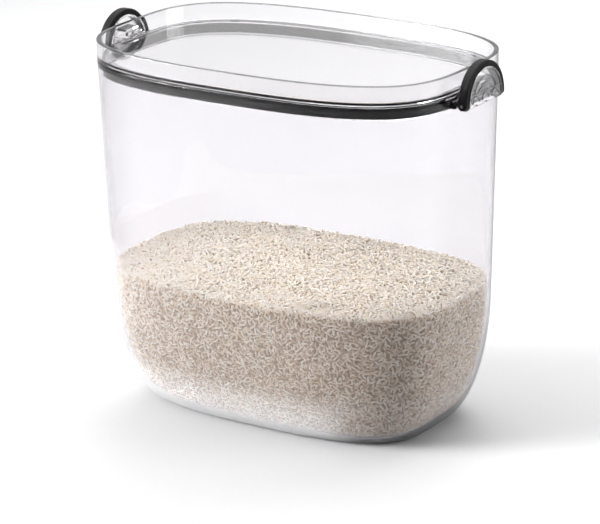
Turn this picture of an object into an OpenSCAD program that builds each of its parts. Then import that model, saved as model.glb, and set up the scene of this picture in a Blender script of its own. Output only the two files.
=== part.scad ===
// Storage bin for rice and other dry goods. A clear oval tub is closed by a clear tray lid
// with a soft gasket. A latch at each end turns on a steel pin, and the lid hooks over the
// same pin, so the lid flips up about the pin of the left end. Rice fills the lower part.
// Millimetres, +Z up, long side along X, origin at the centre of the base.

/* [Outline] */
// Length of the tub over its walls at the rim
tub_len = 300; // [260:1:360]
// Width of the tub over its walls at the rim
tub_wid = 197; // [160:1:240]
// Fullness of the outline towards its two ends, 2 being an ellipse
end_full = 2.72; // [2.2:0.02:3.6]
// Fullness of the outline towards its two long sides
side_full = 3.63; // [2.2:0.01:4.4]

/* [Tub] */
// Height of the tub's rim over the base
tub_h = 270; // [200:1:340]
// Thickness of the side wall
wall = 3; // [2.4:0.1:4]
// Thickness of the floor
floor_t = 5; // [3:0.5:8]
// How far each wall leans in from the rim to the base
taper = 7.2; // [2:0.2:12]
// Width of the large rounding round the base
base_round_w = 30; // [15:1:40]
// Height of the large rounding round the base
base_round_h = 96; // [40:1:120]
// Width of the ring that the tub stands on
foot_w = 9; // [5:0.5:16]
// Height of that ring under the middle of the floor
foot_h = 1.2; // [0.5:0.1:2]
// Width of the lead-in round the inside of the mouth
lead_w = 1.3; // [0.8:0.1:1.6]
// Height of that lead-in
lead_h = 3.4; // [2:0.1:5]

/* [Rice] */
// Height of the rice's top over the base
rice_level = 109; // [60:1:180]
// Gap between the rice and the tub
rice_gap = 0.3; // [0.2:0.05:0.6]
// Radius on the upper edge of the rice
rice_edge = 2; // [1:0.5:6]

/* [Lid] */
// Thickness of the lid's flat panel
panel_t = 2.6; // [2:0.1:4]
// Height of the upstanding rim over the panel
rim_h = 13; // [9:0.5:20]
// Thickness of the upstanding rim
rim_t = 3.3; // [2:0.1:4]
// Gap between the tub's rim and the lid
seam = 0.4; // [0.3:0.1:0.8]
// Thickness of the wall that carries the gasket inside the mouth
plug_t = 2.4; // [1.6:0.1:3.5]
// Height of the lip that holds the gasket up
lip_h = 1.2; // [0.8:0.1:2]
// How far that lip stays behind the face of the gasket
lip_back = 0.6; // [0.4:0.1:1.2]

/* [Gasket] */
// Height of the gasket band
gasket_h = 7.3; // [4:0.1:12]
// Thickness of the gasket band
gasket_t = 2.2; // [1.4:0.1:3]
// Distance from the underside of the lid to the band
gasket_drop = 2; // [1:0.1:4]
// Running gap between the band and the tub's wall
gasket_gap = 0.3; // [0.2:0.05:0.6]
// Chamfer on the band's outer edges
gasket_edge = 0.5; // [0.2:0.1:0.8]

/* [Pins] */
// Radius of each steel pin
pin_r = 1.25; // [1:0.05:1.6]
// Distance of the pin from the face of the end wall
pin_out = 9.4; // [8.6:0.1:12]
// Depth of the pin below the tub's rim
pin_drop = 5.5; // [5.5:0.1:7]
// Radial play of a latch or hook that turns on the pin
turn_play = 0.06; // [0.03:0.01:0.1]
// Radial play of the pin in its fixed lugs
seat_play = 0.02; // [0.01:0.01:0.04]
// Thickness of plastic round a bore
knuckle_t = 1.35; // [1:0.05:1.6]
// Recess of each pin end in the side of the latch
pin_recess = 0.4; // [0.2:0.1:1]

/* [Lugs and hooks] */
// Height of the rail on the end wall behind each latch
rail_h = 6.2; // [5:0.1:7]
// Height of that rail's top over the pin
rail_rise = 3.2; // [2.9:0.1:4]
// Gap between the rail and the turning latch
rail_gap = 0.3; // [0.2:0.05:0.6]
// Width of each lug
lug_w = 4.5; // [3:0.5:6]
// Width of each hook of the lid
hook_w = 5; // [3:0.5:6]
// Thickness of the arm of a lug or hook
arm_t = 2.4; // [2:0.1:3]
// Sideways gap between the latch, the lugs and the hooks
side_gap = 1.4; // [0.5:0.1:2]
// Width of the catch on the lid's rim
catch_w = 18; // [10:1:18]
// How far the catch stands out of the lid's rim
catch_out = 2.5; // [1.5:0.1:3]
// Thickness of the catch
catch_t = 2.8; // [2:0.1:4]
// Height of the catch over the lid's panel
catch_rise = 1; // [0.5:0.1:3]
// Gap between the catch and the latch's tongue
catch_gap = 0.25; // [0.2:0.05:0.5]

/* [Latches] */
// Outer radius of the soft arch
arch_r = 28.3; // [26:0.1:34]
// Thickness of the arch seen from its end
arch_t = 4.5; // [3:0.1:6]
// Reach of the arch from the pin towards the tub
arch_back = 3.2; // [2.8:0.1:3.6]
// Thickness of the clear latch's face
face_t = 1; // [0.8:0.1:1.6]
// How far the ribs stand out of that face
rib_out = 0.6; // [0.3:0.1:1]
// Width of the ribs
rib_w = 1.2; // [0.8:0.1:2]
// Thickness of the clear latch's cheek under the arch
cheek_t = 1.5; // [1:0.1:2.5]
// Height of the cross bar over the pin
bar_rise = 6; // [4:0.5:9]
// Outer radius of the larger curved rib
rib_r = 17.7; // [15:0.1:20]
// Outer radius of the smaller curved rib
eye_r = 12.8; // [9:0.1:14]
// Outer radius of the small arches over the notches
scallop_r = 5.4; // [3:0.1:5.6]
// Distance between the notches in the lower edge
notch_pitch = 13.6; // [10:0.1:14]
// Width of each notch
notch_w = 3.4; // [2:0.1:5]
// Depth of each notch over the latch's lower edge
notch_h = 2; // [1:0.1:3]
// Width of the tongue behind the face
tongue_w = 16; // [8:1:16]
// Thickness of the tongue
tongue_t = 1.8; // [1.2:0.1:2.5]

/* [Hidden] */

// Overlap of two solids that are joined into one
bite = 0.4;
// Facets of the true circles
$fn = 96;

// Levels
lid_z = tub_h + seam;
panel_z = lid_z + panel_t;
top_z = panel_z + rim_h;
gasket_top = lid_z - gasket_drop;
gasket_low = gasket_top - gasket_h;
pin_z = tub_h - pin_drop;
pin_x = tub_len / 2 + pin_out;

// Sizes worked out round the pin
bore_r = pin_r + turn_play;
seat_r = pin_r + seat_play;
knuckle_r = pin_r + knuckle_t;
face_in = knuckle_r + rail_gap;
face_out = face_in + face_t;
rib_face = face_out + rib_out;
rail_front = rib_face + rail_gap;
lug_under = knuckle_r + rail_gap;
lug_top = pin_drop;
hook_under = lid_z - pin_z;
hook_top = hook_under + arm_t;
catch_low = panel_z + catch_rise - pin_z;
catch_top = catch_low + catch_t;
cheek_r = arch_r - arch_t;
cheek_in = cheek_r - cheek_t;
lug_y1 = sqrt(cheek_in * cheek_in - lug_top * lug_top) - side_gap / 2;
lug_y0 = lug_y1 - lug_w;
hook_y1 = lug_y0 - side_gap;
hook_y0 = hook_y1 - hook_w;

// One quarter of the outline, as a share of its half-length and half-width, with its points
// drawn apart where it is straight
quarter_steps = 24;
function pace(u) = let (p = pow(u, side_full / 2), q = pow(1 - u, end_full / 2)) p / (p + q);
function quarter(u) = let (a = 90 * pace(u)) [pow(cos(a), 2 / end_full), pow(sin(a), 2 / side_full)];
steps = [for (i = [0:quarter_steps - 1]) i / quarter_steps];
unit_outline = concat(
    [for (u = steps) quarter(u)],
    [for (u = steps) let (p = quarter(1 - u)) [-p.x, p.y]],
    [for (u = steps) -quarter(u)],
    [for (u = steps) let (p = quarter(1 - u)) [p.x, -p.y]]);

// The outline at a distance inside the tub's outer face at the rim
function outline(inset) = [for (p = unit_outline) [p.x * (tub_len / 2 - inset), p.y * (tub_wid / 2 - inset)]];

// Lean of the wall at a height, and the inner face of the wall there
function lean(z) = taper * (1 - z / tub_h);
function inner(z) = lean(z) + wall;

// Steps of a rounding from its start to its end
fillet_steps = 12;
angles = [for (k = [0:fillet_steps]) 90 * k / fillet_steps];

// Inside of the tub up the large rounding, as rings of an inset and a height, and the inset
// of that inside at any height
hollow = [for (a = angles) let (z = base_round_h - (base_round_h - floor_t) * cos(a))
    [inner(z) + (base_round_w - wall) * (1 - sin(a)), z]];
function hollow_inset(z) = z > base_round_h ? inner(z) : lookup(z, [for (r = hollow) [r[1], r[0]]]);

// Skin through a list of rings, each an inset and a height. A loop closes on itself; any
// other list is capped at both ends.
module lofted(rings, loop = false) {
    n = len(unit_outline);
    m = len(rings);
    skin_points = [for (r = rings) for (p = outline(r[0])) [p.x, p.y, r[1]]];
    skin = [for (j = [0:loop ? m - 1 : m - 2]) for (i = [0:n - 1])
        let (k = (i + 1) % n, l = (j + 1) % m)
        each [[j * n + i, l * n + i, l * n + k], [j * n + i, l * n + k, j * n + k]]];
    caps = loop ? [] : [[for (i = [0:n - 1]) i], [for (i = [n - 1:-1:0]) (m - 1) * n + i]];
    polyhedron(skin_points, concat(skin, caps), convexity = 6);
}

// Upright wall of constant section between two insets
module band(inset_out, inset_in, z0, z1) {
    translate([0, 0, z0]) linear_extrude(z1 - z0) difference() {
        polygon(outline(inset_out));
        polygon(outline(inset_in));
    }
}

// Frame of one end of the bin, with its origin on the pin and +X pointing outwards
module at_end(right) {
    rotate([0, 0, right ? 0 : 180]) translate([pin_x, 0, pin_z]) children();
}

// Round bar along Y between two places
module bar_y(r, y0, y1) {
    translate([0, y0, 0]) rotate([-90, 0, 0]) cylinder(r = r, h = y1 - y0);
}

// Block from low to high corner
module block(low, high) {
    translate(low) cube(high - low);
}

// The same thing on both sides of the middle
module both_sides() {
    children();
    mirror([0, 1, 0]) children();
}

// Crooked arm that comes over the pin from the wall, with its arm between two heights
module crook(y0, y1, under, top, back) {
    bar_y(knuckle_r, y0, y1);
    block([-knuckle_r, y0, 0], [knuckle_r, y1, top]);
    block([-back, y0, under], [knuckle_r, y1, top]);
}

// Half ring round X, standing on the height of the pin
module half_ring(r_out, r_in, x0, x1) {
    translate([x0, 0, 0]) rotate([0, 90, 0]) rotate([0, 0, 90])
        rotate_extrude(angle = 180) translate([r_in, 0]) square([r_out - r_in, x1 - x0]);
}

module tub_shell() {
    foot_in = taper + base_round_w + foot_w;
    outer = [for (a = angles) let (z = base_round_h * (1 - cos(a)))
        [lean(z) + base_round_w * (1 - sin(a)), z]];
    hollow_down = [for (k = [fillet_steps:-1:0]) hollow[k]];
    lofted(concat(
        [[foot_in + foot_h, foot_h], [foot_in, 0]],
        outer,
        [[0, tub_h], [wall - lead_w, tub_h], [inner(tub_h - lead_h), tub_h - lead_h]],
        hollow_down));
}

// Rail on the end wall and the two lugs that hold the pin
module tub_end() {
    root = pin_out + wall / 2;
    half = arch_r - bite;
    block([-root, -half, rail_rise - rail_h], [-rail_front, half, rail_rise]);
    both_sides() crook(lug_y0, lug_y1, lug_under, lug_top, root);
}

module tub() {
    color([0.93, 0.93, 0.96, 0.35]) difference() {
        union() {
            tub_shell();
            at_end(true) tub_end();
            at_end(false) tub_end();
        }
        at_end(true) bar_y(seat_r, -arch_r, arch_r);
        at_end(false) bar_y(seat_r, -arch_r, arch_r);
    }
}

// Rice in the lower part of the tub, level on top
module rice() {
    edge_z = rice_level - rice_edge;
    edge_in = hollow_inset(edge_z) + rice_gap;
    sides = [for (a = angles) let (z = floor_t + (edge_z - rice_gap - floor_t) * (1 - cos(a)))
        [hollow_inset(z) + rice_gap, z + rice_gap]];
    edge = [for (a = [22.5:22.5:90]) [edge_in + rice_edge * (1 - cos(a)), edge_z + rice_edge * sin(a)]];
    color([0.87, 0.8, 0.7]) lofted(concat(sides, edge));
}

// Catch on the lid's rim, which the latch's tongue passes over
module lid_catch() {
    block([-pin_out - rim_t / 2, -catch_w / 2, catch_low], [-pin_out + catch_out, catch_w / 2, catch_top]);
}

// Two hooks that drop over the pin of the left end, so that the lid flips up about it
module lid_hooks() {
    both_sides() difference() {
        crook(hook_y0, hook_y1, hook_under, hook_top, pin_out + rim_t / 2);
        bar_y(bore_r, hook_y0 - bite, hook_y1 + bite);
        block([-bore_r, hook_y0 - bite, -knuckle_r - bite], [bore_r, hook_y1 + bite, 0]);
    }
}

module lid() {
    seat_in = inner(gasket_top) + gasket_gap + gasket_t;
    plug_low = gasket_low - lip_h;
    lip_in = inner(plug_low) + gasket_gap + lip_back;
    color([0.95, 0.95, 0.97, 0.35]) union() {
        translate([0, 0, lid_z]) linear_extrude(panel_t) polygon(outline(0));
        band(0, rim_t, panel_z - bite, top_z);
        band(seat_in, seat_in + plug_t, plug_low, lid_z + bite);
        band(lip_in, seat_in + plug_t, plug_low, gasket_low);
        at_end(true) lid_catch();
        at_end(false) lid_catch();
        at_end(false) lid_hooks();
    }
}

module lid_gasket() {
    face = inner(gasket_top) + gasket_gap;
    back = face + gasket_t;
    color([0.18, 0.18, 0.2]) lofted([
        [back, gasket_low], [face + gasket_edge, gasket_low], [face, gasket_low + gasket_edge],
        [face, gasket_top - gasket_edge], [face + gasket_edge, gasket_top], [back, gasket_top]],
        loop = true);
}

module pin(right) {
    half = arch_r - pin_recess;
    color([0.72, 0.73, 0.75]) at_end(right) bar_y(pin_r, -half, half);
}

// Lower end of a part of the latch, rounded about the pin so that it turns clear of the wall
module leg_end(r, x_front, x_back, y0, y1) {
    intersection() {
        bar_y(r, y0, y1);
        block([x_back, y0, -r], [x_front, y1, 0]);
    }
}

// Raised curved rib on the face of the latch, above a height
module face_rib(r, floor_z) {
    intersection() {
        half_ring(r, r - rib_w, face_out - bite, rib_face);
        block([0, -r, floor_z], [rib_face, r, r]);
    }
}

// Clear part of the latch: face, cheeks under the arch, ribs, notches and tongue
module latch_body() {
    tongue_low = catch_top + catch_gap;
    reach = pin_out - catch_out - catch_gap;
    bar_half = sqrt(cheek_in * cheek_in - bar_rise * bar_rise);
    edge_low = sqrt(rib_face * rib_face - face_in * face_in);
    difference() {
        union() {
            half_ring(cheek_r, 0, face_in, face_out);
            leg_end(rib_face, face_out, face_in, -cheek_r, cheek_r);
            half_ring(cheek_r, cheek_in, -arch_back, rib_face);
            both_sides() leg_end(rib_face, rib_face, -arch_back, cheek_in, cheek_r);
            block([face_in, -bar_half, bar_rise], [rib_face, bar_half, bar_rise + rib_w]);
            face_rib(rib_r, bar_rise);
            face_rib(eye_r, bar_rise);
            for (i = [-1:1]) translate([0, i * notch_pitch, 0]) face_rib(scallop_r, 0);
            block([-reach, -tongue_w / 2, tongue_low], [face_out, tongue_w / 2, tongue_low + tongue_t]);
        }
        bar_y(bore_r, -arch_r, arch_r);
        for (i = [-1:1]) translate([0, i * notch_pitch, 0])
            block([0, -notch_w / 2, -rib_face], [rib_face + bite, notch_w / 2, notch_h - edge_low]);
    }
}

module latch(right) {
    color([0.95, 0.95, 0.96, 0.4]) at_end(right) latch_body();
}

module latch_arch(right) {
    color([0.09, 0.09, 0.1]) at_end(right) difference() {
        union() {
            half_ring(arch_r, cheek_r, -arch_back, face_out);
            both_sides() leg_end(face_out, face_out, -arch_back, cheek_r, arch_r);
        }
        bar_y(bore_r, -arch_r - bite, arch_r + bite);
    }
}

tub();
rice();
lid();
lid_gasket();
pin(false);  // left_pin
latch(false);  // left_latch
latch_arch(false);  // left_latch_arch
pin(true);  // right_pin
latch(true);  // right_latch
latch_arch(true);  // right_latch_arch
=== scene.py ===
# %% [markdown]
# # A clear rice bin with a flip lid
# The bin is a clear oval tub with a clear tray lid. A charcoal band seals the lid in the mouth,
# and a clear D-shaped latch with a soft black arch stands at each end. The construction comes
# packed as a frame, and this lesson gives every part its real surface. All sizes are in metres,
# and a length in millimetres is multiplied by MM.

# %% Load the frame
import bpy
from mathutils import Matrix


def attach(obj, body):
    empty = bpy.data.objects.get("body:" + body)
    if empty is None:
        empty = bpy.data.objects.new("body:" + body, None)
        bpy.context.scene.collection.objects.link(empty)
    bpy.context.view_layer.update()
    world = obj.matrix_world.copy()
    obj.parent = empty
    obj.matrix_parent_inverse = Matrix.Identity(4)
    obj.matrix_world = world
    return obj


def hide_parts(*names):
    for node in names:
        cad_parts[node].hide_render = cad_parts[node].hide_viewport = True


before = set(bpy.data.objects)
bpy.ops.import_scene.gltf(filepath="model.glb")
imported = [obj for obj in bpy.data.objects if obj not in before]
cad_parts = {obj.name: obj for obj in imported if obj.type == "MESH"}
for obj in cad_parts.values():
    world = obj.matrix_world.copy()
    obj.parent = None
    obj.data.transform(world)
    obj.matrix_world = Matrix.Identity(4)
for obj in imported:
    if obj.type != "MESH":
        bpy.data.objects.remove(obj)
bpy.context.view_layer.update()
print("frame:", sorted(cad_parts))

# %% Tools and units
import math

import bpy
import numpy as np
from mathutils import Matrix, Vector, noise

MM = 0.001
print("one millimetre is", MM, "metres")

# %% [markdown]
# ## The camera first
# A product this size is shown from over two metres away with a long lens, so that its upright
# edges stay nearly parallel. The camera looks down by eighteen degrees, from a third
# of the way round to the right, and leans by one degree. A matrix built from its three axes says
# this more clearly than three turns do.

# %% Place the camera
CAMERA_AZIMUTH = math.radians(33.27)
CAMERA_HEIGHT = math.radians(18.41)
CAMERA_LEAN = math.radians(-1.04)
CAMERA_DISTANCE = 2.378
CAMERA_TARGET = Vector((0.0005, 0.0, 0.1131))
FRAME_WIDTH_PX = 600
FOCAL_PX = 3111.0
SENSOR_WIDTH = 36.0
FAR_LIMIT = 20


def camera_matrix():
    """The camera's place and axes, from its direction, its lean and its distance."""
    back = Vector((math.sin(CAMERA_AZIMUTH) * math.cos(CAMERA_HEIGHT),
                   -math.cos(CAMERA_AZIMUTH) * math.cos(CAMERA_HEIGHT),
                   math.sin(CAMERA_HEIGHT)))
    level = Vector((math.cos(CAMERA_AZIMUTH), math.sin(CAMERA_AZIMUTH), 0))
    upright = back.cross(level)
    right = level * math.cos(CAMERA_LEAN) + upright * math.sin(CAMERA_LEAN)
    up = upright * math.cos(CAMERA_LEAN) - level * math.sin(CAMERA_LEAN)
    matrix = Matrix((right, up, back)).transposed().to_4x4()
    matrix.translation = CAMERA_TARGET + back * CAMERA_DISTANCE
    return matrix


lens = bpy.data.cameras.new("camera")
lens.sensor_width = SENSOR_WIDTH
lens.lens = FOCAL_PX / FRAME_WIDTH_PX * SENSOR_WIDTH
lens.clip_end = FAR_LIMIT
camera = bpy.data.objects.new("camera", lens)
camera.matrix_world = camera_matrix()
bpy.context.scene.collection.objects.link(camera)
bpy.context.scene.camera = camera
print("lens:", round(lens.lens, 1), "mm")

# %% [markdown]
# ## Working by hand, in code
# Every operator acts on what is selected, so each step starts with nothing selected. The
# helpers below do what a maker does at the screen: go in and out of edit mode, apply a
# modifier, cut one solid with another, and round the sharp edges.

# %% Helpers for modelling


def deselect():
    """Leaves edit mode with nothing selected."""
    if bpy.context.object and bpy.context.object.mode != "OBJECT":
        bpy.ops.object.mode_set(mode="OBJECT")
    bpy.ops.object.select_all(action="DESELECT")


def pick(piece):
    """Makes one piece the selected and active one."""
    deselect()
    piece.select_set(True)
    bpy.context.view_layer.objects.active = piece


def edit(piece):
    """Opens a piece in edit mode with everything selected."""
    pick(piece)
    bpy.ops.object.mode_set(mode="EDIT")
    bpy.ops.mesh.select_all(action="SELECT")


def apply_modifier(piece, kind, **settings):
    """Adds a modifier with its settings and applies it."""
    pick(piece)
    modifier = piece.modifiers.new(kind.lower(), kind)
    for name, value in settings.items():
        setattr(modifier, name, value)
    bpy.ops.object.modifier_apply(modifier=modifier.name)


def combine(piece, other, how):
    """Joins another solid to a piece, or cuts it away, and removes the other one."""
    apply_modifier(piece, "BOOLEAN", object=other, operation=how, solver="EXACT")
    bpy.data.objects.remove(other)


def round_edges(piece, width, segments=2, angle=30):
    """Rounds every edge that is sharper than the angle."""
    apply_modifier(piece, "BEVEL", width=width, segments=segments, limit_method="ANGLE",
                   angle_limit=math.radians(angle), harden_normals=False)


def smooth(piece, angle=35):
    """Shades a piece smooth, except across edges sharper than the angle."""
    pick(piece)
    bpy.ops.object.shade_smooth_by_angle(angle=math.radians(angle))
    apply_modifier(piece, "WEIGHTED_NORMAL", keep_sharp=True)


def outward(piece):
    """Closes tiny doubles and points every face outwards."""
    edit(piece)
    bpy.ops.mesh.remove_doubles(threshold=0.001 * MM)
    bpy.ops.mesh.normals_make_consistent(inside=False)
    bpy.ops.object.mode_set(mode="OBJECT")


def dress(piece, name, body, material, replaced=()):
    """Names a finished piece, gives it its material and body, and hides the parts it replaces.
    """
    piece.name = name
    piece.data.materials.clear()
    piece.data.materials.append(material)
    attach(piece, body)
    if replaced:
        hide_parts(*replaced)
    print(name, "has", len(piece.data.polygons), "faces")


# %% [markdown]
# ## Node materials
# A material here is a small graph on one Principled shader. The helper makes the shader and
# sets its plain numbers, and noise nodes on Object coordinates add what changes over the
# surface, so that a pattern stays on its part when the part turns.

# %% Helpers for materials


def new_material(name, **plain):
    """A material with one Principled shader, whose plain values are set by socket name."""
    material = bpy.data.materials.new(name)
    material.use_nodes = True
    shader = material.node_tree.nodes["Principled BSDF"]
    for socket, value in plain.items():
        shader.inputs[socket.replace("_", " ")].default_value = value
    return material, material.node_tree, shader


def add_node(tree, kind, **settings):
    """A node with its settings; names that are sockets set the socket's value."""
    node = tree.nodes.new(kind)
    for name, value in settings.items():
        if hasattr(node, name):
            setattr(node, name, value)
        else:
            node.inputs[name.replace("_", " ")].default_value = value
    return node


def noise_on(tree, scale, detail=3.0, roughness=0.5, coordinates=None):
    """Noise on the object's own coordinates."""
    place = coordinates or add_node(tree, "ShaderNodeTexCoord").outputs["Object"]
    node = add_node(tree, "ShaderNodeTexNoise", Scale=scale, Detail=detail, Roughness=roughness)
    tree.links.new(place, node.inputs["Vector"])
    return node


def ramp(tree, source, low, high, start=0.3, end=0.7):
    """Maps a value to a range between two numbers."""
    node = add_node(tree, "ShaderNodeMapRange")
    node.inputs["From Min"].default_value = start
    node.inputs["From Max"].default_value = end
    node.inputs["To Min"].default_value = low
    node.inputs["To Max"].default_value = high
    tree.links.new(source, node.inputs["Value"])
    return node.outputs["Result"]


def colour_ramp(tree, source, *stops):
    """Maps a value to colours at given places."""
    node = tree.nodes.new("ShaderNodeValToRGB")
    while len(node.color_ramp.elements) < len(stops):
        node.color_ramp.elements.new(0.5)
    for element, (place, colour) in zip(node.color_ramp.elements, stops):
        element.position = place
        element.color = (*colour, 1)
    tree.links.new(source, node.inputs["Fac"])
    return node.outputs["Color"]


def bump(tree, shader, height, distance, strength):
    """Drives the shader's normal from a height."""
    node = add_node(tree, "ShaderNodeBump", Distance=distance, Strength=strength)
    tree.links.new(height, node.inputs["Height"])
    tree.links.new(node.outputs["Normal"], shader.inputs["Normal"])


def object_axes(tree):
    """The X, Y and Z of each point, on the object's own coordinates."""
    place = add_node(tree, "ShaderNodeTexCoord")
    axes = add_node(tree, "ShaderNodeSeparateXYZ")
    tree.links.new(place.outputs["Object"], axes.inputs["Vector"])
    return axes.outputs


def calculate(tree, operation, first, second):
    """One sum on two values."""
    node = add_node(tree, "ShaderNodeMath", operation=operation)
    tree.links.new(first, node.inputs[0])
    tree.links.new(second, node.inputs[1])
    return node.outputs["Value"]


# %% [markdown]
# ## Clear moulded plastic
# The tub and the lid are polished mouldings of a clear plastic with a faint cool tint, and light
# bends through it with an index of 1.49. Real walls are never perfect. They carry slow waves
# from the mould, and a film of fingerprints and rubbing that is a little rougher in patches.
# The deeper light runs in the plastic, the more of it is lost, so each part has its own
# density: the long walls of the tub take the most. The latches bend light less, so that their
# ribs stay readable.
#
# Food leaves a pale film inside a tub, thin up to the level of the fill. Round the rounding of
# the base the plastic is milkier, partly haze and partly painted light for the glow that the
# plastic carries down to its foot, and this thins out towards the right. The left end carries a
# painted highlight up to the fill, a soft sheen that washes it out. All of this lowers how much
# light the surface lets through.

# %% Clear plastic
TUB_TINT = (0.985, 0.98, 0.986)
LID_TINT = (0.99, 0.988, 0.991)
LATCH_TINT = (0.985, 0.985, 0.987)
PLASTIC_BEND, LATCH_BEND = 1.49, 1.33
TUB_DENSITY, LID_DENSITY, LATCH_DENSITY = 64, 32, 20
DEPTH_COLOUR = (0.30, 0.26, 0.31, 1)


def clear_plastic(name, tint, haze, density, bend=PLASTIC_BEND, shine=0.45):
    """A clear material with waves, a patchy haze and a loss of light with depth."""
    material, tree, shader = new_material(
        name, Base_Color=(*tint, 1), IOR=bend, Transmission_Weight=1.0, Roughness=haze,
        Specular_Tint=(shine, shine, shine, 1))
    film = noise_on(tree, 22, detail=5, roughness=0.6)
    tree.links.new(ramp(tree, film.outputs["Fac"], haze, haze + 0.035, 0.5, 0.75),
                   shader.inputs["Roughness"])
    waves = noise_on(tree, 9, detail=1)
    bump(tree, shader, waves.outputs["Fac"], 0.12 * MM, 0.5)
    depth = add_node(tree, "ShaderNodeVolumeAbsorption", Density=density, Color=DEPTH_COLOUR)
    tree.links.new(depth.outputs["Volume"], tree.nodes["Material Output"].inputs["Volume"])
    return material


def tint_by_height(material, low, high, *stops):
    """Colours a clear material by height, painting shade as dark lines along its moulded edges.
    """
    tree = material.node_tree
    height = ramp(tree, object_axes(tree)["Z"], 0, 1, low, high)
    tree.links.new(colour_ramp(tree, height, *stops),
                   tree.nodes["Principled BSDF"].inputs["Base Color"])


FILM_LEVEL, FILM_EDGE, FILM_CLEAR = 110 * MM, 9 * MM, 0.975
# Milky foot: partly haze, partly painted light for the glow that the plastic carries to its
# foot.
HAZE_GLOW_LOW, HAZE_GLOW_HIGH, HAZE_GLOW_CLEAR = 6 * MM, 46 * MM, 0.78
HAZE_GLOW_LEFT, HAZE_GLOW_RIGHT, HAZE_GLOW_FADED = -70 * MM, 90 * MM, 0.97
# Painted highlight: a veil that washes out the left end up to the fill.
SHEEN_LEFT, SHEEN_RIGHT, SHEEN_CLEAR = -150 * MM, -80 * MM, 0.93
SHEEN_UP_TO, NO_SHEEN_FROM = FILM_LEVEL - 10 * MM, FILM_LEVEL + 22 * MM


def add_film(material):
    """Lowers the light let through by the film, the milky foot with its painted glow and the
    painted sheen at the left end.
    """
    tree = material.node_tree
    axes = object_axes(tree)
    film = ramp(tree, axes["Z"], FILM_CLEAR, 1.0, FILM_LEVEL - FILM_EDGE, FILM_LEVEL + FILM_EDGE)
    haze_glow = ramp(tree, axes["Z"], HAZE_GLOW_CLEAR, 1.0, HAZE_GLOW_LOW, HAZE_GLOW_HIGH)
    fading = ramp(tree, axes["X"], 0.0, HAZE_GLOW_FADED, HAZE_GLOW_LEFT, HAZE_GLOW_RIGHT)
    foot = calculate(tree, "MAXIMUM", haze_glow, fading)
    # Painted sheen on the left end, up to the fill.
    painted_sheen = ramp(tree, axes["X"], SHEEN_CLEAR, 1.0, SHEEN_LEFT, SHEEN_RIGHT)
    above = ramp(tree, axes["Z"], 0.0, 1.0, SHEEN_UP_TO, NO_SHEEN_FROM)
    end = calculate(tree, "MAXIMUM", painted_sheen, above)
    both = calculate(tree, "MULTIPLY", film, foot)
    tree.links.new(calculate(tree, "MULTIPLY", both, end),
                   tree.nodes["Principled BSDF"].inputs["Transmission Weight"])


tub_plastic = clear_plastic("clear_tub", TUB_TINT, 0.015, TUB_DENSITY)
add_film(tub_plastic)
lid_plastic = clear_plastic("clear_lid", LID_TINT, 0.01, LID_DENSITY)
latch_plastic = clear_plastic("clear_latch", LATCH_TINT, 0.01, LATCH_DENSITY, LATCH_BEND, 1.0)
print("clear plastics:", tub_plastic.name, lid_plastic.name, latch_plastic.name)

# %% [markdown]
# ## The oval
# Seen from above, the bin is fuller than an ellipse and softer than a rounded rectangle. A
# superellipse with its own fullness along each axis gives that with two numbers. Its points
# are drawn apart where it runs straight, so that the facets come out even.

# %% Outline of the bin
TUB_LENGTH = 300 * MM
TUB_WIDTH = 197 * MM
END_FULLNESS = 2.72
SIDE_FULLNESS = 3.63
QUARTER_STEPS = 48


def pace(u):
    """Shares out the points of a quarter, so that the facets come out even."""
    p = u ** (SIDE_FULLNESS / 2)
    q = (1 - u) ** (END_FULLNESS / 2)
    return p / (p + q)


def quarter(u):
    """A point on the outline's first quarter, from the end at 0 to the side at 1."""
    a = math.pi / 2 * pace(u)
    return max(math.cos(a), 0) ** (2 / END_FULLNESS), math.sin(a) ** (2 / SIDE_FULLNESS)


def unit_oval(steps):
    """One turn of the outline, as shares of its half-length and half-width."""
    first = [quarter(i / steps) for i in range(steps)]
    second = [(-x, y) for x, y in (quarter(1 - i / steps) for i in range(steps))]
    half = first + second
    return half + [(-x, -y) for x, y in half]


OVAL = unit_oval(QUARTER_STEPS)
print("outline points:", len(OVAL))

# %% [markdown]
# ## Raising a wall from the oval
# A skin of rings can be raised the way a potter does it. A circle is laid down and pushed
# into the oval, then extruded ring by ring, and each ring is resized to its own inset. The
# holes that stay open are filled, or bridged where the skin closes on itself.

# %% Raise a skin of rings


def half_sizes(inset):
    """Half the length and half the width of the outline at an inset."""
    return TUB_LENGTH / 2 - inset, TUB_WIDTH / 2 - inset


def raise_rings(name, rings, loop=False):
    """A skin through (inset, height) rings, filled at both ends or bridged into a loop."""
    deselect()
    bpy.ops.mesh.primitive_circle_add(vertices=len(OVAL), radius=1, fill_type="NOTHING")
    piece = bpy.context.object
    piece.name = name
    for vertex, (x, y) in zip(piece.data.vertices, OVAL):
        vertex.co = (x, y, 0)
    edit(piece)
    inset, height = rings[0]
    half_x, half_y = half_sizes(inset)
    bpy.ops.transform.resize(value=(half_x, half_y, 1), center_override=(0, 0, 0))
    bpy.ops.transform.translate(value=(0, 0, height))
    for inset, new_height in rings[1:]:
        bpy.ops.mesh.extrude_region_move(
            TRANSFORM_OT_translate={"value": (0, 0, new_height - height)})
        new_x, new_y = half_sizes(inset)
        bpy.ops.transform.resize(value=(new_x / half_x, new_y / half_y, 1),
                                 center_override=(0, 0, new_height))
        half_x, half_y, height = new_x, new_y, new_height
    bpy.ops.mesh.select_all(action="DESELECT")
    bpy.ops.mesh.select_non_manifold()
    if loop:
        bpy.ops.mesh.bridge_edge_loops()
    else:
        bpy.ops.mesh.fill_holes(sides=0)
    bpy.ops.mesh.select_all(action="SELECT")
    bpy.ops.mesh.normals_make_consistent(inside=False)
    bpy.ops.object.mode_set(mode="OBJECT")
    return piece


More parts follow.
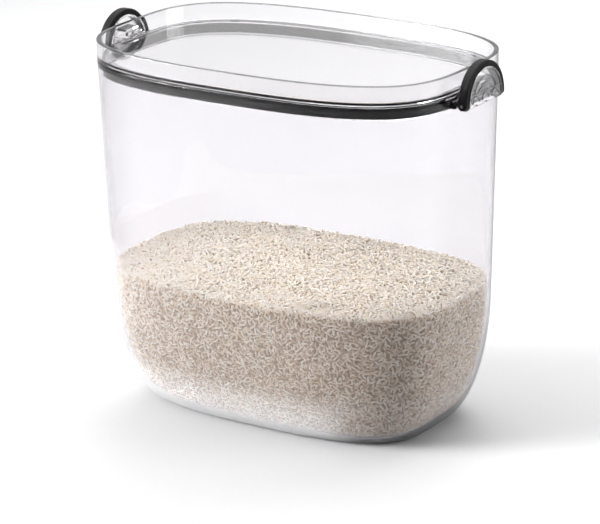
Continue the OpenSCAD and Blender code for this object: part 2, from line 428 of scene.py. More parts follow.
def arc(centre, radii, start, end, steps=5):
    """Points (inset, height) on a quarter of an ellipse between two angles in degrees."""
    turns = [math.radians(start + (end - start) * i / steps) for i in range(steps + 1)]
    return [(centre[0] + radii[0] * math.cos(t), centre[1] + radii[1] * math.sin(t))
            for t in turns]


# %% [markdown]
# ## The tub
# The tub is one moulding: a floor five millimetres thick, a very large rounding round the
# base, and a wall of three millimetres that leans out towards the mouth. Its rim is rounded
# and has a lead-in for the gasket. The list of rings walks once round that section, from the
# underside, up the outside, over the rim and down the inside.

# %% Section of the tub
TUB_HEIGHT = 270 * MM
WALL = 3 * MM
FLOOR = 5 * MM
TAPER = 7.2 * MM
BASE_ROUND = (30 * MM, 96 * MM)
FOOT_WIDTH = 9 * MM
FOOT_HEIGHT = 1.2 * MM
LEAD_IN = (1.3 * MM, 3.4 * MM)
RIM_ROUND = 0.6 * MM
WALL_STEPS = 8
BASE_STEPS = 28
FLAT_MARGIN = 12 * MM


def lean(height):
    """How far the wall leans in at a height."""
    return TAPER * (1 - height / TUB_HEIGHT)


def inner_face(height):
    """Inset of the inside of the tub at a height, down to its floor."""
    radius_x, radius_z = BASE_ROUND[0] - WALL, BASE_ROUND[1] - FLOOR
    if height >= BASE_ROUND[1]:
        return lean(height) + WALL
    drop = min((BASE_ROUND[1] - height) / radius_z, 1)
    return lean(height) + WALL + radius_x * (1 - math.sqrt(1 - drop * drop))


def tub_section():
    """Rings from the underside, up the outside, over the rim and down the inside."""
    base_in = TAPER + BASE_ROUND[0]
    foot_in = base_in + FOOT_WIDTH
    turns = [math.pi / 2 * i / BASE_STEPS for i in range(BASE_STEPS + 1)]
    under = [(foot_in + FLAT_MARGIN, FOOT_HEIGHT), (foot_in + 2 * MM, FOOT_HEIGHT),
             (foot_in + 0.6 * MM, 0.4 * MM), (foot_in, 0), (base_in + 1 * MM, 0)]
    outer = [(lean(z) + BASE_ROUND[0] * (1 - math.sin(t)), z)
             for t in turns for z in [BASE_ROUND[1] * (1 - math.cos(t))]]
    levels = [BASE_ROUND[1] + (TUB_HEIGHT - RIM_ROUND - BASE_ROUND[1]) * i / WALL_STEPS
              for i in range(1, WALL_STEPS + 1)]
    rim_out = arc((RIM_ROUND, TUB_HEIGHT - RIM_ROUND), (-RIM_ROUND, RIM_ROUND), 15, 90, 4)
    lead_x = WALL - LEAD_IN[0]
    rim_in = arc((lead_x - RIM_ROUND, TUB_HEIGHT - RIM_ROUND), (RIM_ROUND, RIM_ROUND), 90, 20, 4)
    lead_z = TUB_HEIGHT - LEAD_IN[1]
    below = lead_z - 1.2 * MM
    inner_levels = [below - (below - BASE_ROUND[1]) * i / WALL_STEPS for i in range(WALL_STEPS)]
    soft_corner = [(lean(lead_z) + WALL - 0.45 * MM, lead_z + 1.2 * MM),
                   (lean(lead_z) + WALL - 0.09 * MM, lead_z)]
    inner = soft_corner + [(lean(z) + WALL, z) for z in inner_levels]
    down = [(inner_face(z), z) for t in reversed(turns)
            for z in [BASE_ROUND[1] - (BASE_ROUND[1] - FLOOR) * math.cos(t)]]
    centre = [(base_in + 6 * MM, FLOOR)]
    wall = [(lean(z), z) for z in levels]
    return under + outer + wall + rim_out + rim_in + inner + down + centre


tub = raise_rings("tub_clear", tub_section())
print("tub rings make", len(tub.data.polygons), "faces")

# %% [markdown]
# ## Rail and lugs at each end
# Under each latch the end wall carries a short rail, and two crooked arms rise from it and
# come over the pin. They are built from blocks and a round bar in the end's own frame, whose
# origin lies on the pin, and are moved to the bin's end afterwards.

# %% Blocks, bars and ends
PIN_RADIUS = 1.25 * MM
PIN_OUT = 9.4 * MM
PIN_HEIGHT = TUB_HEIGHT - 5.5 * MM
PIN_PLACE = Vector((TUB_LENGTH / 2 + PIN_OUT, 0, PIN_HEIGHT))
BORE_RADIUS = PIN_RADIUS + 0.06 * MM
KNUCKLE = PIN_RADIUS + 1.35 * MM


def block(low, high):
    """A block between two corners, in millimetres."""
    low, high = Vector(low) * MM, Vector(high) * MM
    deselect()
    bpy.ops.mesh.primitive_cube_add(size=1, location=(low + high) / 2)
    piece = bpy.context.object
    edit(piece)
    bpy.ops.transform.resize(value=high - low, center_override=piece.location)
    bpy.ops.object.mode_set(mode="OBJECT")
    bpy.ops.object.transform_apply(location=True, rotation=True, scale=True)
    return piece


def bar(radius, start, end, segments=48):
    """A round bar along Y between two places, in metres."""
    deselect()
    bpy.ops.mesh.primitive_cylinder_add(
        vertices=segments, radius=radius, depth=end - start,
        location=(0, (start + end) / 2, 0), rotation=(math.pi / 2, 0, 0))
    bpy.ops.object.transform_apply(location=True, rotation=True, scale=True)
    return bpy.context.object


def to_end(piece, side):
    """Takes a piece from the pin's frame to the right end, or turns it round to the left one."""
    edit(piece)
    bpy.ops.transform.translate(value=PIN_PLACE)
    if side < 0:
        bpy.ops.transform.rotate(value=math.pi, orient_axis="Z", center_override=(0, 0, 0))
    bpy.ops.object.mode_set(mode="OBJECT")
    return piece


def circle(radius, start, end, steps):
    """Points on a circle about the pin, from one angle to another, in millimetres."""
    turns = [math.radians(start + (end - start) * k / steps) for k in range(steps + 1)]
    return [(radius * math.cos(turn), radius * math.sin(turn)) for turn in turns]


def prism(profile, y0, y1):
    """A profile of X and Z drawn out along Y, in millimetres."""
    deselect()
    bpy.ops.mesh.primitive_circle_add(vertices=len(profile), fill_type="NGON")
    piece = bpy.context.object
    for vertex, (x, z) in zip(piece.data.vertices, profile):
        vertex.co = Vector((x, y0, z)) * MM
    edit(piece)
    bpy.ops.mesh.extrude_region_move(TRANSFORM_OT_translate={"value": (0, (y1 - y0) * MM, 0)})
    bpy.ops.mesh.select_all(action="SELECT")
    bpy.ops.mesh.normals_make_consistent(inside=False)
    bpy.ops.object.mode_set(mode="OBJECT")
    return piece


def crook(under, top, back, below):
    """Profile of an arm that comes over the pin from the wall and ends in what is below."""
    knuckle = KNUCKLE / MM
    return [(-knuckle, under), (-back, under), (-back, top), (knuckle, top)] + below


LUG_SPAN = (16.4, 20.9)
LUG_SLACK = 0.02 * MM
RAIL_HALF = 27.9
round_end = circle(KNUCKLE / MM, 0, -180, 20)
for side in (1, -1):
    rail = block((-11.9, -RAIL_HALF, -3.0), (-4.8, RAIL_HALF, 3.2))
    round_edges(rail, 1.2 * MM, 4)
    for y0, y1 in (LUG_SPAN, (-LUG_SPAN[1], -LUG_SPAN[0])):
        lug = prism(crook(under=2.9, top=5.42, back=10.8, below=round_end), y0, y1)
        round_edges(lug, 0.5 * MM, 3)
        combine(lug, bar(PIN_RADIUS + LUG_SLACK, (y0 - 1) * MM, (y1 + 1) * MM), "DIFFERENCE")
        combine(rail, lug, "UNION")
    combine(tub, to_end(rail, side), "UNION")
outward(tub)
smooth(tub, 40)
dress(tub, "tub_clear", "tub", tub_plastic, ["tub"])

# %% [markdown]
# ## The lid
# The lid is a tray: a flat panel with an upstanding rim, and under it a thin wall that goes
# into the mouth and carries the gasket. One walk round the section makes it all, from the
# middle of the tray, over the rim, down the outside, under the flange and round the wall below.

# %% Section of the lid
SEAM = 0.4 * MM
LID_HEIGHT = TUB_HEIGHT + SEAM
PANEL_HEIGHT = LID_HEIGHT + 2.6 * MM
TOP_HEIGHT = PANEL_HEIGHT + 13 * MM
RIM_WIDTH = 3.3 * MM
GASKET_TOP = LID_HEIGHT - 2 * MM
GASKET_LOW = GASKET_TOP - 7.3 * MM
GASKET_FACE = lean(GASKET_TOP) + WALL + 0.3 * MM
SEAT = GASKET_FACE + 2.2 * MM
PLUG_LOW = GASKET_LOW - 1.2 * MM
PLUG_IN = SEAT + 2.4 * MM
LIP_IN = lean(PLUG_LOW) + WALL + 0.9 * MM


def lid_section():
    """Rings from the tray, over the rim, down the outside and round the wall below."""
    foot, crown, edge = 0.7 * MM, 0.5 * MM, 0.35 * MM
    panel = [(RIM_WIDTH + foot + FLAT_MARGIN, PANEL_HEIGHT)]
    foot_round = arc((RIM_WIDTH + foot, PANEL_HEIGHT + foot), (foot, foot), 270, 180, 5)
    inner_crown = arc((RIM_WIDTH - crown, TOP_HEIGHT - crown), (crown, crown), 0, 90, 5)
    outer_crown = arc((crown, TOP_HEIGHT - crown), (crown, crown), 90, 180, 5)
    skirt = arc((edge, LID_HEIGHT + edge), (edge, edge), 180, 270, 3)
    plug = [(SEAT - 0.4 * MM, LID_HEIGHT), (SEAT, LID_HEIGHT - 0.4 * MM), (SEAT, GASKET_LOW),
            (LIP_IN + 0.2 * MM, GASKET_LOW), (LIP_IN, GASKET_LOW - 0.2 * MM),
            (LIP_IN, PLUG_LOW + 0.4 * MM), (LIP_IN + 0.4 * MM, PLUG_LOW),
            (PLUG_IN - 0.5 * MM, PLUG_LOW), (PLUG_IN, PLUG_LOW + 0.5 * MM),
            (PLUG_IN, LID_HEIGHT - 0.8 * MM), (PLUG_IN + 0.8 * MM, LID_HEIGHT),
            (PLUG_IN + FLAT_MARGIN, LID_HEIGHT)]
    return panel + foot_round + inner_crown + outer_crown + skirt + plug


lid = raise_rings("lid_clear", lid_section())
print("lid rings make", len(lid.data.polygons), "faces")

# %% [markdown]
# ## Painted dark lines on the rims
# Light that enters a clear wall runs along inside it and comes out at the edges, so a rim shows
# the dark part of the room as a thin line. A grey tint by height paints that line as shade: on
# the lowest half millimetre of the lid's skirt, on the lid's crown and on the tub's rim.

# %% Tint the rims
# Painted shade: a grey tint that draws the dark lines at the rims.
EDGE_SHADE_TINT = (0.22, 0.22, 0.225)
tint_by_height(lid_plastic, LID_HEIGHT, TOP_HEIGHT, (0.001, LID_TINT), (0.003, EDGE_SHADE_TINT),
               (0.03, EDGE_SHADE_TINT), (0.036, LID_TINT), (0.968, LID_TINT), (0.974, EDGE_SHADE_TINT))
tint_by_height(tub_plastic, TUB_HEIGHT - 2 * MM, TUB_HEIGHT, (0.7, TUB_TINT), (0.78, EDGE_SHADE_TINT))
print("rims tinted on", lid_plastic.name, "and", tub_plastic.name)

# %% [markdown]
# ## Catches and hooks of the lid
# Each end of the rim carries a small catch for the latch's tongue. At the left end two hooks
# drop over the pin: they are arms like the lugs, bored for the pin and open below, so that the
# lid can flip up about the pin or be lifted away.

# %% Catches and hooks
HOOK_SPAN = (10.0, 15.0)
for side in (1, -1):
    catch = block((-11.0, -9, 9.5), (-6.9, 9, 12.3))
    round_edges(catch, 0.4 * MM, 3)
    combine(lid, to_end(catch, side), "UNION")
bore, knuckle = BORE_RADIUS / MM, KNUCKLE / MM
turn = math.degrees(math.acos(bore / knuckle))
open_end = circle(knuckle, 0, -turn, 6) + circle(bore, 0, 180, 24) \
    + circle(knuckle, turn - 180, -180, 6)
for y0, y1 in (HOOK_SPAN, (-HOOK_SPAN[1], -HOOK_SPAN[0])):
    hook = prism(crook(under=5.97, top=8.3, back=11.0, below=open_end), y0, y1)
    round_edges(hook, 0.35 * MM, 2)
    combine(lid, to_end(hook, -1), "UNION")
outward(lid)
smooth(lid, 40)
dress(lid, "lid_clear", "lid", lid_plastic, ["lid"])

# %% [markdown]
# ## The gasket
# A charcoal rubber band lies in the groove under the lid. Its face is flat with soft edges, and
# two fine grooves let it give a little as it goes into the mouth. Rubber has a dull skin with a
# fine grain, and its charcoal varies a little in slow patches.

# %% Gasket
rubber, tree, shader = new_material("gasket_rubber", Roughness=0.7, IOR=1.5,
                                     Specular_IOR_Level=0.08)
patches = noise_on(tree, 14, detail=3)
tree.links.new(colour_ramp(tree, patches.outputs["Fac"],
                           (0.35, (0.004, 0.004, 0.0045)), (0.75, (0.009, 0.009, 0.010))),
               shader.inputs["Base Color"])
speckle = noise_on(tree, 2600, detail=2)
bump(tree, shader, speckle.outputs["Fac"], 0.05 * MM, 0.5)


def gasket_section():
    """Soft edges, a flat face and two fine grooves along it."""
    face, low, top, edge = GASKET_FACE, GASKET_LOW, GASKET_TOP, 0.6 * MM
    lower = arc((face + edge, low + edge), (edge, edge), 270, 180, 4)
    upper = arc((face + edge, top - edge), (edge, edge), 180, 90, 4)
    grooves = []
    for height in (2.4 * MM, 4.9 * MM):
        for shift, depth in ((-0.35, 0), (-0.12, 0.16), (0.12, 0.16), (0.35, 0)):
            grooves.append((face + depth * MM, low + height + shift * MM))
    return [(SEAT, low)] + lower + grooves + upper + [(SEAT, top)]


gasket = raise_rings("gasket_band", gasket_section(), loop=True)
outward(gasket)
smooth(gasket, 50)
dress(gasket, "gasket_band", "lid", rubber, ["lid_gasket"])

# %% [markdown]
# ## The latches
# Each latch is a clear moulding shaped like a D: a thin face with curved ribs that echo its
# round edge, a cross bar, three small arches and notches for the fingers. Its construction
# solid has the right shape, so a merged copy is taken, its flat faces are joined again, and
# the edges get the small rounding that every mould leaves. Seen from outside, the sides of the
# ribs throw light away and read as dark lines. An attribute named side marks the faces that
# turn away from the latch's flat face, and those take a dark tint: painted shade for those
# lines.

# %% Clear latches
# Painted shade: the dark tint of the faces that turn away from the flat face.
SIDE_SHADE_TINT = (0.06, 0.06, 0.062)
FLAT_FROM = 0.8
FACE_CLEAR = 0.95
tree = latch_plastic.node_tree
across = add_node(tree, "ShaderNodeAttribute", attribute_name="side")
tree.links.new(colour_ramp(tree, across.outputs["Fac"], (0.4, LATCH_TINT), (0.6, SIDE_SHADE_TINT)),
               tree.nodes["Principled BSDF"].inputs["Base Color"])
tree.links.new(ramp(tree, across.outputs["Fac"], FACE_CLEAR, 1.0, 0.4, 0.6),
               tree.nodes["Principled BSDF"].inputs["Transmission Weight"])
for side in ("left", "right"):
    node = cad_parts[side + "_latch"]
    latch = node.copy()
    latch.data = node.data.copy()
    bpy.context.scene.collection.objects.link(latch)
    latch.parent = None
    latch.matrix_world = Matrix.Identity(4)
    edit(latch)
    bpy.ops.mesh.remove_doubles(threshold=0.002 * MM)
    bpy.ops.mesh.dissolve_limited(angle_limit=math.radians(1.5))
    bpy.ops.mesh.normals_make_consistent(inside=False)
    bpy.ops.object.mode_set(mode="OBJECT")
    round_edges(latch, 0.24 * MM, 2, angle=35)
    smooth(latch, 35)
    sides = latch.data.attributes.new("side", "FLOAT", "FACE")
    sides.data.foreach_set("value", [1.0 if abs(face.normal.x) < FLAT_FROM else 0.0
                                     for face in latch.data.polygons])
    dress(latch, side + "_latch_clear", side + "_latch", latch_plastic,
          [side + "_latch"])

# %% [markdown]
# ## The soft arches
# A black arch grips the round edge of each latch. Its section is a rectangle with softly
# rounded corners, swept by a half turn about the middle of the latch, and its two ends are
# drawn down round the pin. A bore lets the pin through.

# %% Black satin of the arches
satin, tree, shader = new_material("soft_black", Roughness=0.6, IOR=1.48,
                                   Specular_IOR_Level=0.1)
shade = noise_on(tree, 60, detail=4)
tree.links.new(colour_ramp(tree, shade.outputs["Fac"],
                           (0.3, (0.003, 0.003, 0.0033)), (0.75, (0.006, 0.006, 0.0066))),
               shader.inputs["Base Color"])
touch = noise_on(tree, 45, detail=5, roughness=0.7)
tree.links.new(ramp(tree, touch.outputs["Fac"], 0.50, 0.68), shader.inputs["Roughness"])
speckle = noise_on(tree, 3200, detail=2)
bump(tree, shader, speckle.outputs["Fac"], 0.04 * MM, 0.4)

# %% Arches
ARCH_RADIUS = 28.3 * MM
ARCH_WIDTH = 4.5 * MM
ARCH_FRONT = 3.9 * MM
ARCH_BACK = 3.2 * MM
ARCH_CORNER = 1.1 * MM
ARCH_TURNS = 72
LEG_STEPS = 10
LEG_ROUND = 0.985


def arch(name):
    """A half ring with rounded section and rounded legs, in the pin's frame."""
    deselect()
    bpy.ops.mesh.primitive_plane_add(size=1)
    piece = bpy.context.object
    piece.name = name
    edit(piece)
    bpy.ops.transform.resize(value=(ARCH_FRONT + ARCH_BACK, ARCH_WIDTH, 1),
                             center_override=(0, 0, 0))
    bpy.ops.transform.translate(
        value=((ARCH_FRONT - ARCH_BACK) / 2, ARCH_RADIUS - ARCH_WIDTH / 2, 0))
    bpy.ops.mesh.bevel(offset=ARCH_CORNER, segments=5, affect="VERTICES")
    bpy.ops.mesh.spin(steps=ARCH_TURNS, angle=-math.pi, center=(0, 0, 0), axis=(1, 0, 0))
    for sign in (1, -1):
        bpy.ops.mesh.select_all(action="DESELECT")
        bpy.ops.object.mode_set(mode="OBJECT")
        for face in piece.data.polygons:
            face.select = abs(face.center.z) < 0.01 * MM and face.center.y * sign > 0
        bpy.ops.object.mode_set(mode="EDIT")
        width, depth = 1.0, 0.0
        for step in range(1, LEG_STEPS + 1):
            turn = math.pi / 2 * step / LEG_STEPS * LEG_ROUND
            new_width, new_depth = math.cos(turn), ARCH_BACK * math.sin(turn)
            bpy.ops.mesh.extrude_region_move(
                TRANSFORM_OT_translate={"value": (0, 0, depth - new_depth)})
            bpy.ops.transform.resize(value=(new_width / width, 1, 1),
                                     center_override=(0, 0, -new_depth))
            width, depth = new_width, new_depth
    outward(piece)
    return piece


for side, sign in (("left", -1), ("right", 1)):
    piece = arch(side + "_arch")
    combine(piece, bar(BORE_RADIUS, -ARCH_RADIUS - MM, ARCH_RADIUS + MM), "DIFFERENCE")
    to_end(piece, sign)
    outward(piece)
    smooth(piece, 40)
    dress(piece, side + "_arch", side + "_latch", satin, [side + "_latch_arch"])

# %% [markdown]
# ## The pins
# Each pin is a blackened steel rod. It was drawn through a die, so fine lines run along it and
# its shine is broken across them. The construction solid already has its true shape, and only
# takes a material.

# %% Blackened steel
steel, tree, shader = new_material("pin_steel", Metallic=1.0, Roughness=0.28,
                                   Base_Color=(0.13, 0.13, 0.135, 1))
place = add_node(tree, "ShaderNodeTexCoord")
stretch = add_node(tree, "ShaderNodeMapping")
stretch.inputs["Scale"].default_value = (1, 0.03, 1)
tree.links.new(place.outputs["Object"], stretch.inputs["Vector"])
lines = noise_on(tree, 4000, detail=2, coordinates=stretch.outputs["Vector"])
tree.links.new(ramp(tree, lines.outputs["Fac"], 0.2, 0.42), shader.inputs["Roughness"])
bump(tree, shader, lines.outputs["Fac"], 0.02 * MM, 0.4)
for name in ("left_pin", "right_pin"):
    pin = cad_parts[name]
    if not pin.material_slots:
        pin.data.materials.append(steel)
    for slot in pin.material_slots:
        slot.material = steel
print("pins dressed in", steel.name)

# %% [markdown]
# ## One grain of rice
# A milled grain is about five millimetres long and less than two thick. It is a little flat and
# slightly curved, and its ends are blunter than an egg's. A sphere with few segments is drawn
# out into that, and every grain of the bed is a copy of it.

# %% Model a grain
GRAIN_LENGTH = 4.9 * MM
GRAIN_WIDTH = 1.7 * MM
GRAIN_FLATNESS = 0.86
GRAIN_BELLY = 0.4
GRAIN_BEND = 0.175 * MM


def model_grain():
    """One grain at the origin, lying along X and bent up in the middle."""
    deselect()
    bpy.ops.mesh.primitive_uv_sphere_add(segments=5, ring_count=4, radius=0.5,
                                         rotation=(0, math.pi / 2, 0))
    grain = bpy.context.object
    bpy.ops.object.transform_apply(location=False, rotation=True, scale=False)
    edit(grain)
    bpy.ops.transform.resize(value=(GRAIN_LENGTH, GRAIN_WIDTH, GRAIN_WIDTH * GRAIN_FLATNESS),
                             center_override=(0, 0, 0))
    bpy.ops.object.mode_set(mode="OBJECT")
    for vertex in grain.data.vertices:
        share = abs(2 * vertex.co.x / GRAIN_LENGTH)
        vertex.co.y *= 1 + GRAIN_BELLY * (1 - share) * share
        vertex.co.z += GRAIN_BEND * (1 - share * share)
    edit(grain)
    bpy.ops.mesh.quads_convert_to_tris()
    bpy.ops.object.mode_set(mode="OBJECT")
    return grain


grain = model_grain()
grain_points = np.array([vertex.co[:] for vertex in grain.data.vertices])
grain_faces = np.array([face.vertices[:] for face in grain.data.polygons])
bpy.data.objects.remove(grain)
print("one grain:", len(grain_points), "points,", len(grain_faces), "faces")

# %% [markdown]
# ## The bed of rice
# The rice lies level at a little over a third of the bin's height. Its body is one form that
# stays just inside the wall, so no light passes through it, and the grains lie on that form in
# layers: on top, along the wall and on the floor. Each place is drawn by lot with a fixed
# seed, and a place too near an earlier one is dropped, because grains push each other apart.
# Grains along the wall lie nearly flat on it, and grains on top are tilted more freely.

# %% Where the grains lie
RICE_LEVEL = 108.4 * MM
WALL_GAP = 0.35 * MM
PULL_IN = -0.32
WALL_ROWS, WALL_TURNS = 260, 721
POUR_WAVES = ((1.1 * MM, 22, 0.3), (0.7 * MM, 60, 4.1))
FLOOR_SHARE = (0.86, 0.80, 0)
TABLE_HEIGHTS = np.linspace(FLOOR, 200 * MM, 600)
TABLE_INSETS = np.array([inner_face(height) for height in TABLE_HEIGHTS])
rng = np.random.default_rng(7)


def insets_at(heights):
    """Insets of the inside of the tub at many heights."""
    return np.interp(heights, TABLE_HEIGHTS, TABLE_INSETS)


def fit_share(points):
    """The share by which each point has to come in towards the middle to stay in the tub."""
    half_x, half_y = half_sizes(insets_at(points[..., 2]) + WALL_GAP)
    outside = (np.abs(points[..., 0]) / half_x) ** END_FULLNESS \
        + (np.abs(points[..., 1]) / half_y) ** SIDE_FULLNESS
    return np.minimum(1, outside ** PULL_IN)


def wall_places(count):
    """Places on the inside of the wall and its rounding under the rice's top, with normals."""
    heights = np.linspace(FLOOR + 0.6 * MM, RICE_LEVEL - 0.3 * MM, WALL_ROWS)
    turns = np.linspace(0, 2 * math.pi, WALL_TURNS)
    cos, sin = np.cos(turns), np.sin(turns)
    unit = np.stack([np.sign(cos) * np.abs(cos) ** (2 / END_FULLNESS),
                     np.sign(sin) * np.abs(sin) ** (2 / SIDE_FULLNESS)], axis=1)
    half = np.stack(half_sizes(insets_at(heights)), axis=1)
    upright = np.broadcast_to(heights[:, None, None], (len(heights), len(turns), 1))
    grid = np.concatenate([unit[None] * half[:, None], upright], axis=2)
    along = grid[:-1, 1:] - grid[:-1, :-1]
    up = grid[1:, :-1] - grid[:-1, :-1]
    cross = np.cross(along, up)
    area = np.linalg.norm(cross, axis=2)
    cell = rng.choice(area.size, size=count, p=(area / area.sum()).ravel())
    i, j = np.divmod(cell, area.shape[1])
    a, b = rng.random((2, count, 1))
    return grid[i, j] + along[i, j] * a + up[i, j] * b, -cross[i, j] / area[i, j][:, None]


def top_height(x, y):
    """The rice's own surface: nearly level, with the slow waves left by pouring."""
    return sum((size * noise.noise((x * scale, y * scale, offset))
                for size, scale, offset in POUR_WAVES), RICE_LEVEL)


def top_places(count):
    """Places on the rice's top, with normals."""
    flat = rng.random((count * 2, 2)) * 2 - 1
    inside = np.abs(flat[:, 0]) ** END_FULLNESS + np.abs(flat[:, 1]) ** SIDE_FULLNESS < 1
    flat = flat[inside][:count] * half_sizes(insets_at(RICE_LEVEL) + 0.8 * MM)
    places = np.column_stack([flat, [top_height(x, y) for x, y in flat]])
    return places, np.tile((0.0, 0.0, 1.0), (len(places), 1))


def floor_places(count):
    """Places on the floor of the tub, with normals."""
    places, normals = top_places(count)
    return places * FLOOR_SHARE + (0, 0, FLOOR), normals


def spread(places, normals, distance):
    """Keeps the places that are no nearer to each other than a distance."""
    kept, cells = [], {}
    keys = np.floor(places / distance).astype(int)
    for index, (x, y, z) in enumerate(keys):
        near = [cells.get((x + i, y + j, z + k), ()) for i in (-1, 0, 1)
                for j in (-1, 0, 1) for k in (-1, 0, 1)]
        place = places[index]
        if all(((places[other] - place) ** 2).sum() >= distance * distance
               for group in near for other in group):
            cells.setdefault((x, y, z), []).append(index)
            kept.append(index)
    return places[kept], normals[kept]


print("rice level:", round(RICE_LEVEL / MM, 1), "mm")

# %% [markdown]
# ## Laying the grains
# Thousands of objects would be slow to handle, so the grains of a layer are one mesh, split in
# a left half and a right half. Each grain is a turned copy of the one that was modelled. A
# grain that reaches through the wall or the floor is pushed back in, a few times over, and it
# gets a darker tone the deeper it lies.

# %% Lay the grains
GRAIN_SIZES = (0.84, 1.1)
DEPTH_SPREAD = 0.35 * MM
FLOOR_GAP = 0.15 * MM
SETTLING_ROUNDS = 4
# Painted shade: a grain loses tone the deeper it lies, as less light reaches it.
TONE_LOST_PER_MM = 0.25


def turned_grains(normals, tilt):
    """The grain's points, once for each place, turned at random on its surface."""
    count = len(normals)
    yaw, roll = rng.random((2, count, 1)) * 2 * math.pi
    lift = rng.normal(0, tilt, (count, 1))
    helper = np.where(np.abs(normals[:, 2:3]) > 0.9, (1.0, 0.0, 0.0), (0.0, 0.0, 1.0))
    east = np.cross(helper, normals)
    east /= np.linalg.norm(east, axis=1, keepdims=True)
    north = np.cross(normals, east)
    flat = east * np.cos(yaw) + north * np.sin(yaw)
    long = flat * np.cos(lift) + normals * np.sin(lift)
    side = np.cross(normals, flat)
    wide = side * np.cos(roll) + np.cross(long, side) * np.sin(roll)
    axes = np.stack([long, wide, np.cross(long, wide)], axis=1)
    size = rng.uniform(*GRAIN_SIZES, (count, 1, 3))
    return (grain_points[None] * size) @ axes


def lay_grains(name, points, tones):
    """One mesh of many grains, each with its own tone."""
    count, each = points.shape[:2]
    faces = (grain_faces[None] + np.arange(count)[:, None, None] * each).reshape(-1, 3)
    mesh = bpy.data.meshes.new(name)
    mesh.vertices.add(count * each)
    mesh.vertices.foreach_set("co", points.ravel())
    mesh.loops.add(faces.size)
    mesh.loops.foreach_set("vertex_index", faces.ravel())
    mesh.polygons.add(len(faces))
    mesh.polygons.foreach_set("loop_start", np.arange(0, faces.size, 3))
    mesh.polygons.foreach_set("loop_total", np.full(len(faces), 3))
    mesh.update(calc_edges=True)
    tone = mesh.attributes.new("tone", "FLOAT", "POINT")
    tone.data.foreach_set("value", np.repeat(tones, each))
    mesh.validate()
    piece = bpy.data.objects.new(name, mesh)
    bpy.context.scene.collection.objects.link(piece)
    pick(piece)
    bpy.ops.object.shade_smooth()
    dress(piece, name, "tub", rice)


def lay_layer(name, maker, tries, distance, depth, tilt, tones):
    """A layer of grains at a depth behind a surface, in a left half and a right half."""
    places, normals = spread(*maker(tries), distance)
    depths = depth + np.abs(rng.normal(0, DEPTH_SPREAD, len(places)))
    turned = turned_grains(normals, tilt)
    centre = places - normals * depths[:, None]
    for _ in range(SETTLING_ROUNDS):
        centre[:, :2] *= fit_share(turned + centre[:, None]).min(axis=1)[:, None]
        lowest = (turned + centre[:, None])[..., 2].min(axis=1)
        centre[:, 2] += np.maximum(0, FLOOR + FLOOR_GAP - lowest)
    points = turned + centre[:, None]
    # Painted shade: the tone drops with depth.
    tone = rng.uniform(*tones, len(places)) - (depths - depth) / MM * TONE_LOST_PER_MM
    for half, chosen in (("left", places[:, 0] < 0), ("right", places[:, 0] >= 0)):
        lay_grains(f"{name}_{half}", points[chosen], tone[chosen])


print("grain sizes:", GRAIN_SIZES)

# %% [markdown]
# ## The look of milled rice
# Milled rice is a warm, slightly grey cream. Each grain has its own tone, a few are chalky
# white, and those that lie deeper are darker and browner, because less light gets down to
# them. The form below the grains is darkest and bumpy, so it reads as the shade between grains
# wherever it shows.

# %% Rice materials
rice, tree, shader = new_material("rice_grains", Roughness=0.55, IOR=1.5,
                                  Specular_IOR_Level=0.3)
tone = add_node(tree, "ShaderNodeAttribute", attribute_name="tone")
cream = colour_ramp(tree, tone.outputs["Fac"],
                    (0.0, (0.42, 0.30, 0.19)), (0.3, (0.74, 0.59, 0.42)),
                    (0.65, (0.94, 0.86, 0.72)), (1.0, (0.98, 0.96, 0.91)))
mottle = noise_on(tree, 700, detail=2)
mixer = add_node(tree, "ShaderNodeMix", data_type="RGBA", blend_type="MULTIPLY")
mixer.inputs[0].default_value = 0.35
tree.links.new(cream, mixer.inputs[6])
tree.links.new(colour_ramp(tree, mottle.outputs["Fac"],
                           (0.35, (0.90, 0.87, 0.82)), (0.7, (1.0, 1.0, 1.0))), mixer.inputs[7])
tree.links.new(mixer.outputs[2], shader.inputs["Base Color"])
skin = noise_on(tree, 2400, detail=2)
bump(tree, shader, skin.outputs["Fac"], 0.06 * MM, 0.4)

# Painted shade: the form's dark brown stands for the shade between grains.
shade_rice, tree, shader = new_material("rice_depth", Roughness=0.8)
cells = add_node(tree, "ShaderNodeTexVoronoi", Scale=380.0)
place = add_node(tree, "ShaderNodeTexCoord")
tree.links.new(place.outputs["Object"], cells.inputs["Vector"])
tree.links.new(colour_ramp(tree, cells.outputs["Distance"],
                           (0.0, (0.66, 0.54, 0.40)), (0.8, (0.36, 0.27, 0.18))),
               shader.inputs["Base Color"])
bump(tree, shader, cells.outputs["Distance"], 1.2 * MM, 1.0)
print("rice materials:", rice.name, shade_rice.name)

# %% [markdown]
# ## Fill the bin
# The form is raised like the tub, from rings that follow the inside of the wall, and five
# layers of grains are laid on it: two along the wall, two on top and one on the floor.

# %% Fill the bin
BED_GAP = 2.2 * MM
BED_STEPS = 24


def bed_section():
    """Rings from the form's underside, up along the wall, to its slightly raised top."""
    low, top = FLOOR + 1.2 * MM, RICE_LEVEL - 2.4 * MM
    turns = [math.pi / 2 * k / BED_STEPS for k in range(BED_STEPS + 1)]
    heights = [low + (top - low) * (1 - math.cos(turn)) for turn in turns]
    rings = [(inner_face(height) + BED_GAP, height) for height in heights]
    first, last = rings[0][0], rings[-1][0]
    return [(first + FLAT_MARGIN, low)] + rings + [(last + 3 * MM, top + 0.3 * MM)]


bed = raise_rings("rice_bed", bed_section())
outward(bed)
smooth(bed, 60)
dress(bed, "rice_bed", "tub", shade_rice, ["rice"])

# Deeper layers take darker tones, which is painted shade.
NEAR_TONES, DEEP_TONES = (0.3, 0.9), (0.35, 0.68)
TOP_TONES, UNDER_TOP_TONES = (0.72, 1.0), (0.6, 0.95)
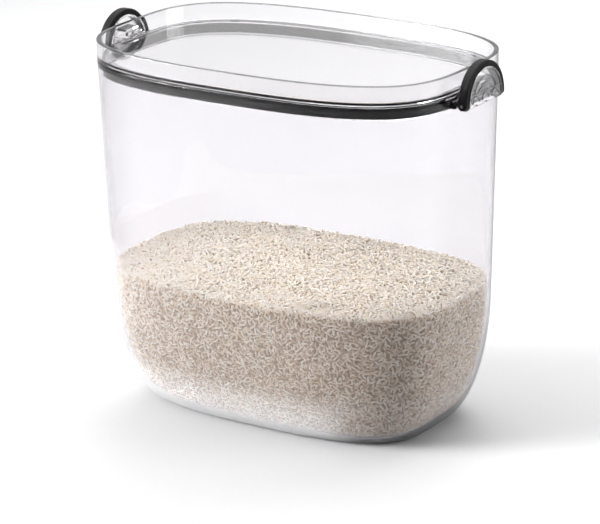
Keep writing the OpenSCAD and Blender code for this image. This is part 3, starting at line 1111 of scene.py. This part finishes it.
# Each layer: name, places, tries, distance and depth in millimetres, tilt in radians, tones.
LAYERS = (
    ("rice_wall_near", wall_places, 27000, 2.15, 0.85, 0.2, NEAR_TONES),
    ("rice_wall_deep", wall_places, 23000, 2.4, 1.7, 0.35, DEEP_TONES),
    ("rice_top_near", top_places, 15500, 2.1, 0.1, 0.36, TOP_TONES),
    ("rice_top_deep", top_places, 12500, 2.3, 1.1, 0.45, UNDER_TOP_TONES),
    ("rice_floor", floor_places, 4500, 3.0, 0.9, 0.2, NEAR_TONES))
for name, maker, tries, distance, depth, tilt, tones in LAYERS:
    lay_layer(name, maker, tries, distance * MM, depth * MM, tilt, tones)

# %% [markdown]
# ## The floor
# A plain pale floor runs back until it meets the light of the room. Its paint is a middle grey
# that two of the panels light up to white, so the bin's soft shadow still shows at its foot.

# %% Floor
GROUND_SIZE = 14
deselect()
bpy.ops.mesh.primitive_plane_add(size=GROUND_SIZE, location=(0, 0, 0))
floor = bpy.context.object
floor.name = "floor"
paint, tree, shader = new_material("pale_floor", Roughness=0.55)
drift = noise_on(tree, 3, detail=4)
tree.links.new(colour_ramp(tree, drift.outputs["Fac"],
                           (0.3, (0.315, 0.315, 0.318)), (0.7, (0.33, 0.33, 0.333))),
               shader.inputs["Base Color"])
floor.data.materials.append(paint)
print("floor painted with", paint.name)

# %% [markdown]
# ## The light of the room
# The room is bright behind and above and darker in front, which gives clear plastic its grey
# edge lines. Five soft panels add to it. A large one overhead makes the top of the rice bright,
# a strong one shines across from the left, and a weak one opens the shade on the right. The
# last two hang over the floor behind the bin and in front of it, and keep the ground white.

# %% Room light
BRIGHT_SIDE = Vector((-0.55, 0.70, 0.45))
ROOM_STRENGTH = 0.95
world = bpy.data.worlds.new("studio")
bpy.context.scene.world = world
world.use_nodes = True
tree = world.node_tree
place = add_node(tree, "ShaderNodeTexCoord")
towards = add_node(tree, "ShaderNodeVectorMath", operation="DOT_PRODUCT")
towards.inputs[1].default_value = BRIGHT_SIDE.normalized()
tree.links.new(place.outputs["Generated"], towards.inputs[0])
tree.links.new(colour_ramp(tree, ramp(tree, towards.outputs["Value"], 0.0, 1.0, -1.0, 1.0),
                           (0.12, (0.10, 0.10, 0.108)), (0.5, (0.42, 0.42, 0.435)),
                           (0.85, (1.0, 1.0, 1.0))),
               tree.nodes["Background"].inputs["Color"])
tree.nodes["Background"].inputs["Strength"].default_value = ROOM_STRENGTH


def panel_light(name, place, target, size, power, spread=180):
    """A soft panel that hangs at a place and faces a target; its spread is in degrees."""
    light = bpy.data.lights.new(name, "AREA")
    light.shape = "RECTANGLE"
    light.size, light.size_y = size
    light.energy = power
    light.spread = math.radians(spread)
    lamp = bpy.data.objects.new(name, light)
    lamp.location = place
    lamp.rotation_euler = (Vector(target) - Vector(place)).to_track_quat("-Z", "Y").to_euler()
    bpy.context.scene.collection.objects.link(lamp)


panel_light("top_panel", (-0.3, 0.15, 1.6), (0, 0, 0.1), (1.4, 1.4), 26)
panel_light("left_panel", (-2.0, -1.6, 0.9), (0, 0, 0.12), (2.2, 1.6), 54, 40)
panel_light("right_panel", (1.9, 0.7, 0.8), (0, 0, 0.1), (1.2, 1.2), 7, 60)
panel_light("back_panel", (-0.55, 1.8, 2.2), (-0.6, 1.2, 0), (3.4, 1.4), 44, 100)
panel_light("front_panel", (1.5, -2.7, 1.7), (1.5, -2.7, 0), (3.0, 1.6), 34, 110)
bpy.context.scene.view_settings.view_transform = "Standard"
bpy.context.scene.view_settings.exposure = 0.0
